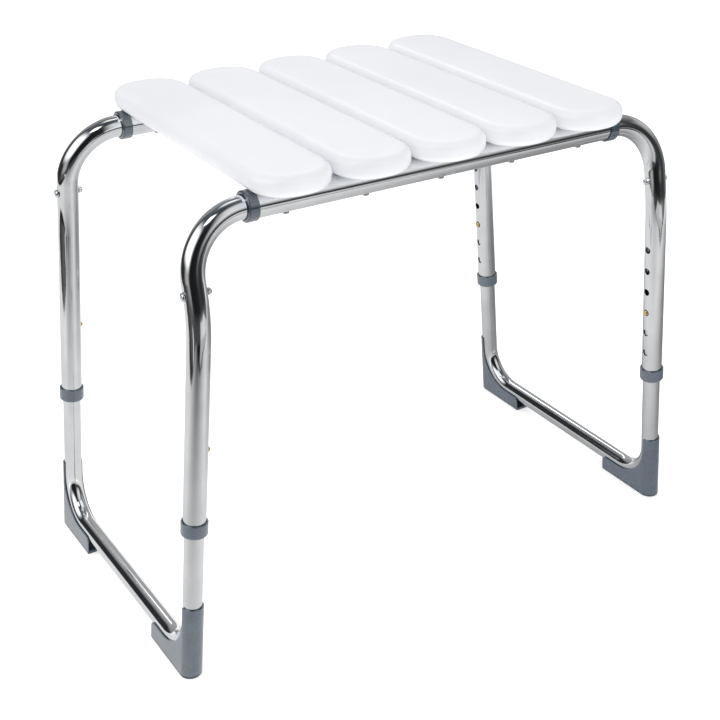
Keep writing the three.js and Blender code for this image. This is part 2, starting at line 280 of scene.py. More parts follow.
def round_bar(radius, start, end):
    """A closed round cutter from one point to another."""
    along = Vector(end) - Vector(start)
    turn = along.to_track_quat("Z", "Y").to_matrix().to_4x4()
    work = bmesh.new()
    bmesh.ops.create_cone(work, cap_ends=True, segments=BAR_SIDES, radius1=radius,
                          radius2=radius, depth=along.length)
    work.transform(Matrix.Translation((Vector(start) + Vector(end)) / 2) @ turn)
    return new_mesh("round_bar", work)


# ---- outlines ----

FILLET_STEPS = 5


def filleted(corners, closed=False):
    """An outline as (point, normal) pairs, from corners given as (x, y, radius). Each corner turns
    through an arc, and the normals point to the right of the direction of travel."""
    outline = []
    count = len(corners)
    for i, (x, y, radius) in enumerate(corners):
        corner = Vector((x, y))
        first = i == 0 and not closed
        last = i == count - 1 and not closed
        before = None if first else Vector(corners[i - 1][:2])
        after = None if last else Vector(corners[(i + 1) % count][:2])
        into = (corner - before).normalized() if before else (after - corner).normalized()
        out = (after - corner).normalized() if after else into
        turn = into.angle_signed(out) if before and after else 0.0
        if abs(turn) < 1e-6 or radius == 0:
            outline.append((corner, Vector((into.y, -into.x))))
            if abs(turn) > 1e-6:
                outline.append((corner, Vector((out.y, -out.x))))
            continue
        # angle_signed is positive clockwise, so the arc's centre is then to the right
        clockwise = math.copysign(1, turn)
        reach = radius * math.tan(abs(turn) / 2)
        start = corner - into * reach
        right = Vector((into.y, -into.x))
        centre = start + right * radius * clockwise
        for step in range(FILLET_STEPS + 1):
            angle = -turn * step / FILLET_STEPS
            spoke = Matrix.Rotation(angle, 2) @ (start - centre)
            outline.append((centre + spoke, spoke.normalized() * -clockwise))
    return outline


def lathe(profile, segments=64, shaped=None):
    """A turned solid about +Z from an outline of (radius, height). shaped(radius, height, turn), if
    given, changes the radius round the axis, as flats or a thread do."""
    shell = Shell()
    rings = []
    for (radius, height), normal in profile:
        if radius < 1e-7:
            rings.append([shell.add(Vector((0, 0, height)), Vector((0, 0, normal[1])))])
            continue
        ring = []
        for i in range(segments):
            turn = i / segments
            angle = 2 * math.pi * turn
            spoke = Vector((math.cos(angle), math.sin(angle), 0))
            reach = shaped(radius, height, turn) if shaped else radius
            exact = None if shaped else spoke * normal[0] + Z_AXIS * normal[1]
            ring.append(shell.add(spoke * reach + Z_AXIS * height, exact, (height, turn)))
        rings.append(ring)
    if len(rings[0]) > 1 and len(rings[-1]) > 1:
        rings.append(rings[0])
    for low, high in zip(rings, rings[1:]):
        if len(low) == 1 or len(high) == 1:
            tip, ring = (low, high) if len(low) == 1 else (high, low)
            for i in range(segments):
                shell.faces.append([tip[0], ring[i], ring[(i + 1) % segments]])
        else:
            shell.strip(low, high, closed=True)
    return shell


# ---- tubes ----

TUBE_SIDES = 64
COLUMN_TURN = 2 * math.pi / TUBE_SIDES
ARC_STEP = math.radians(3)
ROW_CLEAR = 0.2 * MM
END_CHAMFER = 0.3 * MM
HOLE_COLUMNS = 8
RIM_CHAMFER = 0.25 * MM
# how far the rings round a hole have closed in from their patch's edge to the round rim
RIM_SHARES = (0.4, 0.75, 1.0)


class CentreLine:
    """Straight runs joined by arcs, from corners given as (point, bend radius)."""

    def __init__(self, corners):
        self.runs = []
        self.length = 0
        points = [Vector(point) for point, _ in corners]
        start = points[0]
        for i in range(1, len(points) - 1):
            into = (points[i] - points[i - 1]).normalized()
            out = (points[i + 1] - points[i]).normalized()
            turn = into.angle(out)
            radius = corners[i][1]
            bend_start = points[i] - into * radius * math.tan(turn / 2)
            self.add_straight(start, bend_start)
            side = (out - into * into.dot(out)).normalized()
            self.runs.append((self.length, radius * turn, bend_start, into, side, radius))
            self.length += radius * turn
            start = points[i] + out * radius * math.tan(turn / 2)
        self.add_straight(start, points[-1])

    def add_straight(self, start, end):
        along = end - start
        self.runs.append((self.length, along.length, start, along.normalized(), None, None))
        self.length += along.length

    def at(self, distance):
        """The point and direction at a distance along the line."""
        run = next(run for run in reversed(self.runs) if distance >= run[0] - 1e-9 or run is
                   self.runs[0])
        begin, _, start, ahead, side, radius = run
        past = distance - begin
        if side is None:
            return start + ahead * past, ahead
        angle = past / radius
        point = start + ahead * radius * math.sin(angle) + side * radius * (1 - math.cos(angle))
        return point, ahead * math.cos(angle) + side * math.sin(angle)

    def stations(self):
        """Distances at the ends of each run, and every few degrees in each arc."""
        found = [0.0]
        for begin, length, _, _, side, radius in self.runs:
            steps = 1 if side is None else max(4, math.ceil(length / radius / ARC_STEP))
            found += [begin + length * (i + 1) / steps for i in range(steps)]
        return found

    def distance_to(self, point):
        """The distance along the line to the place on a straight run nearest a point."""
        best = None
        for begin, length, start, ahead, side, _ in self.runs:
            if side is None:
                past = min(max((Vector(point) - start).dot(ahead), 0), length)
                away = (start + ahead * past - Vector(point)).length
                if best is None or away < best[0]:
                    best = (away, begin + past)
        return best[1]


class Hole:
    """A hole's own frame on a tube, which faces it. a runs along the tube, b across the hole."""

    def __init__(self, row_frame, along, direction):
        self.point, self.ahead, across, up = row_frame
        self.along = along
        self.facing = (direction - self.ahead * direction.dot(self.ahead)).normalized()
        self.side = self.ahead.cross(self.facing)
        self.turn = math.atan2(self.facing.dot(up), self.facing.dot(across))

    def flat(self, point):
        """A point's a and b."""
        offset = point - self.point
        return offset.dot(self.ahead), offset.dot(self.side)

    def on_tube(self, a, b, tube_radius):
        """The point of the tube at a and b, its outward normal, and its place along and round."""
        height = math.sqrt(tube_radius ** 2 - b ** 2)
        point = self.point + self.ahead * a + self.side * b + self.facing * height
        normal = (self.side * b + self.facing * height).normalized()
        turned = (self.turn + math.asin(b / tube_radius)) / (2 * math.pi)
        return point, normal, (self.along + a, turned % 1)


def patch_border():
    """(row, column) steps round the square patch of the grid that a hole takes."""
    last = HOLE_COLUMNS
    border = [(i, 0) for i in range(last)]
    border += [(last, j) for j in range(last)]
    border += [(last - i, last) for i in range(last)]
    return border + [(0, last - j) for j in range(last)]


class Tube(Shell):
    """A tube with real holes: an outer and an inner grid, of rows along it and columns round it.
    Each hole is (distance along, direction it faces, radius), on a straight run."""

    def __init__(self, line, outer, holes=()):
        super().__init__()
        self.line = line
        self.outer = outer
        self.inner = outer - TUBE_WALL
        self.rows = self.row_distances(holes)
        self.frames = self.row_frames()
        self.layers = [self.grid(self.outer, 1), self.grid(self.inner, -1)]
        self.taken = set()
        for along, direction, radius in holes:
            self.punch(along, direction, radius)
        self.close()

    def row_distances(self, holes):
        """The rows' distances along the line, evenly spaced where a hole's patch is."""
        band = self.outer * COLUMN_TURN * HOLE_COLUMNS / 2
        length = self.line.length
        distances = set(self.line.stations())
        distances -= {d for d in distances for hole in holes if abs(d - hole[0]) < band + ROW_CLEAR}
        for along, _, _ in holes:
            distances |= {along + band * i / (HOLE_COLUMNS / 2) for i in
                          range(-HOLE_COLUMNS // 2, HOLE_COLUMNS // 2 + 1)}
        distances |= {0.0, END_CHAMFER, length - END_CHAMFER, length}
        rows = []
        for distance in sorted(distances):
            if not rows or distance - rows[-1] > 1e-6:
                rows.append(distance)
        return rows

    def row_frames(self):
        """Each row's point, its direction, and two directions across that don't twist along."""
        frames = []
        for distance in self.rows:
            point, ahead = self.line.at(distance)
            if frames:
                turn = frames[-1][1].rotation_difference(ahead)
                across = (turn @ frames[-1][2]).normalized()
            else:
                away = Z_AXIS if abs(ahead.z) < 0.9 else Y_AXIS
                across = away.cross(ahead).normalized()
            frames.append((point, ahead, across, ahead.cross(across)))
        return frames

    def grid(self, radius, outward):
        """Rows of points at a radius, with normals that point out (1) or in (-1)."""
        grid = []
        for row, (point, ahead, across, up) in enumerate(self.frames):
            at_end = row in (0, len(self.rows) - 1)
            reach = radius - END_CHAMFER if at_end and outward > 0 else radius
            ends = -ahead if row == 0 else ahead
            ring = []
            for i in range(TUBE_SIDES):
                spoke = across * math.cos(i * COLUMN_TURN) + up * math.sin(i * COLUMN_TURN)
                normal = ends if at_end else spoke * outward
                ring.append(self.add(point + spoke * reach, normal,
                                     (self.rows[row], i / TUBE_SIDES)))
            grid.append(ring)
        return grid

    def punch(self, along, direction, radius):
        """Opens a hole. In both grids its patch becomes rings that close in on a round rim, and
        a chamfer and a wall join the two rims."""
        row = min(range(len(self.rows)), key=lambda row: abs(self.rows[row] - along))
        hole = Hole(self.frames[row], self.rows[row], direction)
        first_row = row - HOLE_COLUMNS // 2
        first_column = round(hole.turn / COLUMN_TURN) - HOLE_COLUMNS // 2
        self.taken.update((first_row + i, (first_column + j) % TUBE_SIDES)
                          for i in range(HOLE_COLUMNS) for j in range(HOLE_COLUMNS))
        edges = [[grid[first_row + i][(first_column + j) % TUBE_SIDES] for i, j in patch_border()]
                 for grid in self.layers]
        outer_rim = self.close_in(hole, edges[0], self.outer, 1, radius + RIM_CHAMFER)
        inner_rim = self.close_in(hole, edges[1], self.inner, -1, radius)
        wall = []
        for vertex in edges[0]:
            a, b = hole.flat(self.points[vertex])
            spoke = math.atan2(b, a)
            point, _, place = hole.on_tube(radius * math.cos(spoke), radius * math.sin(spoke),
                                           self.outer - RIM_CHAMFER)
            inward = -(hole.ahead * math.cos(spoke) + hole.side * math.sin(spoke))
            wall.append(self.add(point, inward, place))
        self.strip(outer_rim, wall, closed=True)
        self.strip(wall, inner_rim, closed=True)

    def close_in(self, hole, edge, tube_radius, outward, rim_radius):
        """Adds the rings from a patch's edge to a hole's round rim, and gives the rim."""
        flat = [hole.flat(self.points[vertex]) for vertex in edge]
        previous = edge
        for share in RIM_SHARES:
            ring = []
            for a, b in flat:
                spoke = math.atan2(b, a)
                point, normal, place = hole.on_tube(
                    a + (rim_radius * math.cos(spoke) - a) * share,
                    b + (rim_radius * math.sin(spoke) - b) * share, tube_radius)
                ring.append(self.add(point, normal * outward, place))
            self.strip(previous, ring, closed=True)
            previous = ring
        return previous

    def close(self):
        """Adds the grids' faces, but for the holes' patches, and the tube's two ends."""
        for grid in self.layers:
            for row in range(len(self.rows) - 1):
                for column in range(TUBE_SIDES):
                    if (row, column) not in self.taken:
                        after = (column + 1) % TUBE_SIDES
                        self.faces.append([grid[row][column], grid[row][after],
                                           grid[row + 1][after], grid[row + 1][column]])
        for row in (0, -1):
            self.strip(self.layers[0][row], self.layers[1][row], closed=True)


def rail_mesh(row):
    y = ROWS[row] * RAIL_OFFSET
    line = CentreLine([((-RAIL_HALF_LENGTH, y, RAIL_HEIGHT), 0),
                       ((RAIL_HALF_LENGTH, y, RAIL_HEIGHT), 0)])
    holes = []
    for number in SLATS:
        x = middle_and_half(f"slat_{number}")[0].x
        for up in (Z_AXIS, -Z_AXIS):
            holes.append((x + RAIL_HALF_LENGTH, up, SCREW_CLEARANCE))
    return Tube(line, RAIL_RADIUS, holes).mesh(f"{row}_rail")


def bolt_point(row, side):
    """Where a leg's axis crosses the height of its bolt, between the bend and the kink."""
    share = (RAIL_HEIGHT - BOLT_HEIGHT) / (RAIL_HEIGHT - KINK_HEIGHT)
    return Vector((SIDES[side] * LEG_SPAN,
                   ROWS[row] * (RAIL_OFFSET + (LEG_OFFSET - RAIL_OFFSET) * share), BOLT_HEIGHT))


def upper_leg_mesh(row, side):
    across = SIDES[side]
    back = ROWS[row]
    placed = corner_frame(row, side)
    collar_top = COLLAR_MIDDLE - COLLAR_HEIGHT / 2 + COLLAR_LIP
    line = CentreLine([
        ((across * LEG_INNER_END, back * RAIL_OFFSET, RAIL_HEIGHT), 0),
        ((across * LEG_SPAN, back * RAIL_OFFSET, RAIL_HEIGHT), BEND_RADIUS),
        ((across * LEG_SPAN, back * LEG_OFFSET, KINK_HEIGHT), KINK_RADIUS),
        (placed @ Vector((0, 0, collar_top)), 0),
    ])
    inward = placed.to_3x3() @ Vector((-across, 0, 0))
    holes = []
    for step in HOLE_STEPS:
        at = placed @ Vector((0, 0, BUTTON_HEIGHT + step * HOLE_PITCH))
        holes.append((line.distance_to(at), inward, HOLE_RADIUS))
    for facing in (X_AXIS, -X_AXIS):
        holes.append((line.distance_to(bolt_point(row, side)), facing, BOLT_SHANK + GAP))
    outer_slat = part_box("slat_5")[0].x + slat_half.x
    for facing in (Z_AXIS, -Z_AXIS):
        holes.append((outer_slat - LEG_INNER_END, facing, SCREW_CLEARANCE))
    return Tube(line, LEG_RADIUS, holes).mesh(f"upper_leg_{row}_{side}")


def lower_frame_mesh(side):
    top = BUTTON_HEIGHT + LOWER_TUBE_ABOVE
    line = CentreLine([
        ((0, -LEG_OFFSET, top), 0),
        ((0, -LEG_OFFSET, LOWER_RAIL_HEIGHT), LOWER_BEND_RADIUS),
        ((0, LEG_OFFSET, LOWER_RAIL_HEIGHT), LOWER_BEND_RADIUS),
        ((0, LEG_OFFSET, top), 0),
    ])
    inward = Vector((-SIDES[side], 0, 0))
    holes = [(line.distance_to((0, back * LEG_OFFSET, BUTTON_HEIGHT)), inward, HOLE_RADIUS)
             for back in ROWS.values()]
    return Tube(line, LOWER_RADIUS, holes).mesh(f"lower_frame_{side}")


# ---- slats ----

SLAT_CORNER_STEPS = 14
SLAT_EDGE_STEPS = 9
SLAT_SIDE_STEPS = 95
SLAT_END_STEPS = 3
SLAT_CROWN = 0.35 * MM
SLAT_FACE_INSETS = [inset * MM for inset in (34, 28, 22, 16, 12)]
PILOT_DEPTH = 11.3 * MM


def slat_ring(inset):
    """The board's outline in plan, at an inset from its edge."""
    radius = max(SLAT_END_RADIUS - inset, MM)
    corners = [Vector((sx * (slat_half.x - inset - radius), sy * (slat_half.y - inset - radius), 0))
               for sx, sy in ((1, 1), (-1, 1), (-1, -1), (1, -1))]
    ring = []
    for quarter, corner in enumerate(corners):
        for step in range(SLAT_CORNER_STEPS + 1):
            angle = math.pi / 2 * (quarter + step / SLAT_CORNER_STEPS)
            spoke = Vector((math.cos(angle), math.sin(angle), 0))
            ring.append(corner + spoke * radius)
        following = corners[(quarter + 1) % 4] + spoke * radius
        steps = SLAT_SIDE_STEPS if quarter % 2 else SLAT_END_STEPS
        start = ring[-1]
        ring += [start.lerp(following, step / steps) for step in range(1, steps)]
    return ring


def slat_profile():
    """(inset, height) pairs from the middle of the top, round the edge, to the middle below."""
    arc = [math.pi / 2 * step / SLAT_EDGE_STEPS for step in range(SLAT_EDGE_STEPS + 1)]
    height = 2 * slat_half.z
    profile = [(inset, height) for inset in SLAT_FACE_INSETS]
    profile += [(SLAT_EDGE * (1 - math.sin(angle)), height - SLAT_EDGE * (1 - math.cos(angle)))
                for angle in arc]
    profile += [(SLAT_EDGE * (1 - math.cos(angle)), SLAT_EDGE * (1 - math.sin(angle)))
                for angle in arc]
    return profile + [(inset, 0) for inset in reversed(SLAT_FACE_INSETS)]


def clear_of_bushings(point):
    """Lifts a point of an end board's rounded edge clear of the bushing it passes over."""
    reach = BUSHING_RADIUS + 2 * GAP
    sideways = abs(point.y) - RAIL_OFFSET
    beyond = abs(point.x) > RAIL_HALF_LENGTH - BUSHING_WIDTH / 2 - GAP
    if beyond and abs(sideways) < reach:
        point.z = max(point.z, RAIL_HEIGHT + math.sqrt(reach ** 2 - sideways ** 2))
    return point


def slat_mesh(number):
    middle = middle_and_half(f"slat_{number}")[0]
    shell = Shell()
    rings = []
    for inset, height in slat_profile():
        crown = SLAT_CROWN * (1 - inset / slat_half.x) ** 2 * height / (2 * slat_half.z)
        ring = []
        for point in slat_ring(inset):
            placed = Vector((middle.x + point.x, middle.y + point.y, SLAT_BASE + height - crown))
            ring.append(shell.add(clear_of_bushings(placed)))
        rings.append(ring)
    for ring, following in zip(rings, rings[1:]):
        shell.strip(ring, following, closed=True)
    shell.faces += [rings[0], rings[-1]]
    holes = [round_bar(SCREW_CLEARANCE, (middle.x, y, SLAT_BASE - MM),
                       (middle.x, y, SLAT_BASE + PILOT_DEPTH)) for y in (-RAIL_OFFSET, RAIL_OFFSET)]
    made = combined(shell.mesh(f"slat_{number}"), holes, "DIFFERENCE")
    made.set_sharp_from_angle(angle=math.radians(40))
    return made


# ---- bushings and collars ----


def stepped_sleeve(outer, wide_bore, narrow_bore, length, lip, lead):
    """A sleeve about +Z: the wide bore takes one tube's end, the narrow one passes the next. Its
    narrow end is rounded by the lead."""
    return lathe(filleted([
        (narrow_bore, 0, 0.3 * MM),
        (outer, 0, lead),
        (outer, length, 0.7 * MM),
        (wide_bore, length, 0.5 * MM),
        (wide_bore, lip, 0.2 * MM),
        (narrow_bore, lip, 0.2 * MM),
    ], closed=True), segments=96)


def bushing_placement(row, side):
    across = SIDES[side]
    at = (across * (RAIL_HALF_LENGTH + BUSHING_WIDTH / 2), ROWS[row] * RAIL_OFFSET, RAIL_HEIGHT)
    return Matrix.Translation(at) @ Matrix.Rotation(-across * math.pi / 2, 4, "Y")


def bushing_mesh():
    return stepped_sleeve(BUSHING_RADIUS, RAIL_RADIUS + GAP, LEG_RADIUS + GAP, BUSHING_WIDTH,
                          BUSHING_WIDTH / 2 - GAP, 1.6 * MM).mesh("rail_bushing")


def collar_mesh():
    return stepped_sleeve(COLLAR_RADIUS, LEG_RADIUS + GAP, LOWER_RADIUS + GAP, COLLAR_HEIGHT,
                          COLLAR_LIP - GAP, 2.4 * MM).mesh("leg_collar")


# ---- feet ----

FOOT_FILLET = 1.8 * MM
FOOT_FILLET_STEPS = 4
FOOT_ARC_STEPS = 20
FOOT_NOSE_STEPS = 32
FOOT_TIP_STEPS = 6
FOOT_WALL_ROWS = 6
FOOT_EDGE = 0.55 * MM


def foot_columns():
    """(distance from the leg's axis, height of the flank's edge there), from the tip to the leg."""
    quarter = math.pi / 2
    columns = []
    for step in range(FOOT_TIP_STEPS + 1):
        angle = quarter * (1 - step / FOOT_TIP_STEPS)
        columns.append((FOOT_REACH - FOOT_TIP_ROUND * (1 - math.sin(angle)),
                        LOWER_RAIL_HEIGHT - FOOT_TIP_ROUND * (1 - math.cos(angle))))
    for step in range(FOOT_ARC_STEPS + 1):
        angle = quarter * step / FOOT_ARC_STEPS
        columns.append((LOWER_BEND_RADIUS * (1 - math.sin(angle)),
                        LOWER_RAIL_HEIGHT + LOWER_BEND_RADIUS * (1 - math.cos(angle))))
    return columns


class FootShell(Shell):
    """A foot about its own leg, Y toward the middle, its sole flat on the floor although the leg
    leans. It is a half sleeve that follows the lower tube round its bend, open at the tip. Its
    columns run from one flank's tip round the nose to the other's."""

    def __init__(self, lean):
        super().__init__()
        self.lean = lean
        self.flank = foot_columns()
        self.nose = [math.pi * step / FOOT_NOSE_STEPS for step in range(1, FOOT_NOSE_STEPS)]
        self.count = 2 * len(self.flank) + len(self.nose)
        self.outer = self.wall(0, 0, FOOT_FILLET)
        self.inner = self.wall(FOOT_WALL, FOOT_SOLE, FOOT_FILLET / 2)
        for rows in (self.outer, self.inner):
            for low, high in zip(rows, rows[1:]):
                self.strip(low, high)
        self.add_sleeve()
        self.add_flank_edges()
        self.add_sole()
        self.add_tip()

    def plan(self, column, inset):
        """A column's point in plan, at an inset from the outer wall."""
        radius = FOOT_RADIUS - inset
        if column < len(self.flank):
            return Vector((-radius, self.flank[column][0], 0))
        if column < len(self.flank) + len(self.nose):
            angle = self.nose[column - len(self.flank)]
            return Vector((-radius * math.cos(angle), -radius * math.sin(angle), 0))
        return Vector((radius, self.flank[self.count - 1 - column][0], 0))

    def edge_height(self, column):
        """The height at which a column ends: level with the shoulder round the nose."""
        along_flank = min(column, self.count - 1 - column, len(self.flank) - 1)
        return self.flank[along_flank][1]

    def sole_height(self, point):
        """The floor's height in the foot's own, leaning frame."""
        return point.x * math.tan(self.lean)

    def wall(self, inset, base, fillet):
        """Rows of points from the sole, round its fillet, up to the flank's edge."""
        rows = []
        for step in range(FOOT_FILLET_STEPS + 1):
            angle = math.pi / 2 * step / FOOT_FILLET_STEPS
            row = []
            for column in range(self.count):
                point = self.plan(column, inset + fillet * (1 - math.sin(angle)))
                point.z = base + fillet * (1 - math.cos(angle)) + self.sole_height(point)
                row.append(self.add(point))
            rows.append(row)
        for step in range(1, FOOT_WALL_ROWS + 1):
            share = step / FOOT_WALL_ROWS
            row = []
            for column in range(self.count):
                point = self.plan(column, inset)
                low = base + fillet + self.sole_height(point)
                point.z = low + (self.edge_height(column) - low) * share
                row.append(self.add(point))
            rows.append(row)
        return rows

    def add_sleeve(self):
        """The part of the sleeve above the shoulder, round the nose only."""
        around = range(len(self.flank) - 1, len(self.flank) + len(self.nose) + 1)
        sleeves = []
        for rows, inset in ((self.outer, 0), (self.inner, FOOT_WALL)):
            top = []
            for column in around:
                point = self.plan(column, inset)
                point.z = FOOT_SLEEVE
                top.append(self.add(point))
            shoulder = [rows[-1][column] for column in around]
            self.strip(shoulder, top)
            sleeves.append((shoulder, top))
        self.strip(sleeves[0][1], sleeves[1][1])
        for end in (0, -1):
            self.faces.append([sleeves[0][0][end], sleeves[0][1][end],
                               sleeves[1][1][end], sleeves[1][0][end]])

    def add_flank_edges(self):
        for columns in (range(len(self.flank)),
                        range(len(self.flank) + len(self.nose), self.count)):
            self.strip([self.outer[-1][column] for column in columns],
                       [self.inner[-1][column] for column in columns])

    def add_sole(self):
        """The sole's two faces, in strips from one flank to the other."""
        for low in (self.outer[0], self.inner[0]):
            for column in range(self.count // 2):
                opposite = self.count - 1 - column
                face = [low[column], low[column + 1], low[opposite]]
                if opposite - column > 2:
                    face.insert(2, low[opposite - 1])
                self.faces.append(face)

    def add_tip(self):
        """The open tip's one face, where both walls and the sole end."""
        left = [row[0] for row in reversed(self.outer)]
        right = [row[-1] for row in self.outer]
        back = [row[-1] for row in reversed(self.inner)]
        forth = [row[0] for row in self.inner]
        self.faces.append(left + right + back + forth)


def foot_mesh(lean):
    made = rounded(FootShell(lean).mesh("foot"), FOOT_EDGE, 3)
    rib_top = LOWER_RAIL_HEIGHT - LOWER_RADIUS - 2 * GAP
    reach = FOOT_RADIUS - FOOT_WALL / 2
    ribs = [block((-reach, y - FOOT_RIB_WIDTH / 2, FOOT_SOLE / 2),
                  (reach, y + FOOT_RIB_WIDTH / 2, rib_top)) for y in FOOT_RIBS]
    made = combined(made, ribs, "UNION")
    made.set_sharp_from_angle(angle=math.radians(35))
    return made


def foot_placement(row, side):
    turned = Matrix.Rotation(math.pi, 4, "Z") if row == "rear" else Matrix.Identity(4)
    return corner_frame(row, side) @ turned


# ---- fasteners and snap buttons ----


def pan_screw_mesh():
    """A pan-head screw, point up, the underside of its head at z = 0, with a cross recess."""
    head = 2.1 * MM
    recess = 1.3 * MM
    pitch = 1.4 * MM
    reach = 37 * MM
    thread_start = reach - 15 * MM
    thread_end = reach - 3 * MM
    thread_depth = 0.35 * MM

    def threaded(radius, height, turn):
        if height < thread_start or radius < SCREW_SHANK / 2:
            return radius
        phase = (height / pitch - turn) % 1
        return radius - thread_depth * abs(2 * phase - 1)

    outline = [(0, -head, 0), (SCREW_HEAD, -head, 1.3 * MM), (SCREW_HEAD, 0, 0.2 * MM),
               (SCREW_SHANK, 0, 0.2 * MM)]
    rows = 90
    outline += [(SCREW_SHANK, thread_start + (thread_end - thread_start) * i / rows, 0)
                for i in range(rows + 1)]
    outline += [(0, reach, 0)]
    made = lathe(filleted(outline), BAR_SIDES, threaded).mesh("slat_screw")
    arm = SCREW_HEAD * 0.62
    slot_half = 0.42 * MM
    arms = [block((-arm, -slot_half, -head - recess), (arm, slot_half, -head + recess)),
            block((-slot_half, -arm, -head - recess), (slot_half, arm, -head + recess))]
    made = combined(made, arms, "DIFFERENCE")
    made.set_sharp_from_angle(angle=math.radians(35))
    return made


def bolt_mesh():
    """A domed bolt about +Z through a leg whose axis is at z = 0, its head at the top."""
    seat = LEG_RADIUS + GAP
    end = -seat - 2.7 * MM
    rim = seat + 2.2 * MM
    crown = seat + 3 * MM
    return lathe(filleted([(0, end, 0), (BOLT_SHANK, end, 0.5 * MM), (BOLT_SHANK, seat, 0.2 * MM),
                           (BOLT_HEAD_RADIUS, seat, 0.3 * MM), (BOLT_HEAD_RADIUS, rim, 2 * MM),
                           (0, crown, 0)])).mesh("leg_bolt")


def cap_nut_mesh():
    """The domed nut on the bolt's other end, with six flats under its dome."""
    seat = -LEG_RADIUS - GAP
    bore = BOLT_SHANK + GAP
    apothem = NUT_RADIUS * math.cos(math.pi / 6)

    def hexagonal(radius, height, turn):
        flat = apothem / math.cos(turn * 6 % 1 * math.pi / 3 - math.pi / 6)
        return min(radius, flat) if radius > bore + 0.1 * MM else radius

    dome = NUT_RADIUS * 0.86
    crown = seat - 4.5 * MM
    rim = seat - 4 * MM
    dome_base = seat - 2.1 * MM
    flats_end = seat - 1.9 * MM
    bore_end = seat - 3 * MM
    outline = filleted([(0, crown, 0), (dome, rim, 1.8 * MM), (dome, dome_base, 0.1 * MM),
                        (NUT_RADIUS, flats_end, 0.1 * MM), (NUT_RADIUS, seat, 0.2 * MM),
                        (bore, seat, 0.1 * MM), (bore, bore_end, 0.1 * MM), (0, bore_end, 0)])
    made = lathe(outline, 72, hexagonal).mesh("cap_nut")
    made.set_sharp_from_angle(angle=math.radians(28))
    return made


def bolt_placement(row, side):
    return (Matrix.Translation(bolt_point(row, side))
            @ Matrix.Rotation(SIDES[side] * math.pi / 2, 4, "Y"))


def button_mesh():
    """A domed button about +Z, whose flange stays inside the lower tube. z = 0 is its axis."""
    radius = HOLE_RADIUS - 2 * GAP
    flange = 4.2 * MM
    base = 5.2 * MM
    shoulder = 6.4 * MM
    tip = LEG_RADIUS + 2.6 * MM
    return lathe(filleted([(0, base, 0), (flange, base, 0.2 * MM), (flange, shoulder, 0.2 * MM),
                           (radius, shoulder, 0.2 * MM), (radius, tip - 0.5 * MM, 2.3 * MM),
                           (0, tip, 0)])).mesh("snap_button")


def button_placement(row, side):
    return (corner_frame(row, side) @ Matrix.Translation((0, 0, BUTTON_HEIGHT))
            @ Matrix.Rotation(-SIDES[side] * math.pi / 2, 4, "Y"))


def spring_mesh():
    """A V spring: one leaf bears on the tube's far wall, the other on the button's flange."""
    half_thickness = 0.35 * MM
    half_width = 3.25 * MM
    far_leaf = -6.5 * MM
    near_leaf = 4.5 * MM
    top = 8 * MM
    bend = -10 * MM
    fold = -38.15 * MM
    line = filleted([(far_leaf, top, 0), (far_leaf, bend, 12 * MM), (-2.1 * MM, fold, 1.2 * MM),
                     (0.5 * MM, fold, 1.2 * MM), (near_leaf, bend, 12 * MM), (near_leaf, top, 0)])
    shell = Shell()
    rows = []
    for point, normal in line:
        row = []
        for side, edge in ((1, -1), (1, 1), (-1, 1), (-1, -1)):
            at = point + normal * half_thickness * side
            row.append(shell.add(Vector((at.x, edge * half_width, at.y))))
        rows.append(row)
    for row, following in zip(rows, rows[1:]):
        shell.strip(row, following, closed=True)
    shell.faces += [rows[0], rows[-1]]
    made = rounded(shell.mesh("snap_spring"), 0.12 * MM, 2)
    made.set_sharp_from_angle(angle=math.radians(40))
    return made


def spring_placement(row, side):
    turned = Matrix.Rotation(math.pi if side == "right" else 0, 4, "Z")
    return corner_frame(row, side) @ Matrix.Translation((0, 0, BUTTON_HEIGHT)) @ turned


# ---- materials ----

# noise rarely leaves this range
NOISE_LOW = 0.3
NOISE_HIGH = 0.7


def colour(code):
    """A linear colour from an sRGB hex code."""
    channels = [int(code[i:i + 2], 16) / 255 for i in (0, 2, 4)]
    return tuple(c / 12.92 if c < 0.04045 else ((c + 0.055) / 1.055) ** 2.4 for c in channels)


class Nodes:
    """Adds shader nodes to a tree."""

    def __init__(self, tree):
        self.tree = tree

    def node(self, kind, inputs=None, **settings):
        made = self.tree.nodes.new(f"ShaderNode{kind}")
        for key, value in settings.items():
            setattr(made, key, value)
        for key, value in (inputs or {}).items():
            if isinstance(value, bpy.types.NodeSocket):
                self.tree.links.new(value, made.inputs[key])
            else:
                made.inputs[key].default_value = value
        return made

    def math(self, operation, first, second=0.0):
        return self.node("Math", {0: first, 1: second}, operation=operation).outputs["Value"]

    def smooth(self, value, low, high):
        """Rises from 0 to 1 as a value goes from low to high."""
        return self.node("MapRange", {"Value": value, "From Min": low, "From Max": high},
                         interpolation_type="SMOOTHSTEP").outputs["Result"]

    def ramp(self, factor, stops):
        """A colour that a factor picks from (position, colour) stops."""
        made = self.node("ValToRGB", {"Fac": factor})
        elements = made.color_ramp.elements
        elements[0].position, elements[0].color = stops[0][0], (*stops[0][1], 1)
        elements[1].position, elements[1].color = stops[-1][0], (*stops[-1][1], 1)
        for position, shade in stops[1:-1]:
            elements.new(position).color = (*shade, 1)
        return made.outputs["Color"]

    def mixed(self, factor, first, second, blend_type="MIX"):
        """The first colour, or as the factor rises the second."""
        return self.node("MixRGB", {"Fac": factor, "Color1": first, "Color2": second},
                         blend_type=blend_type).outputs["Color"]


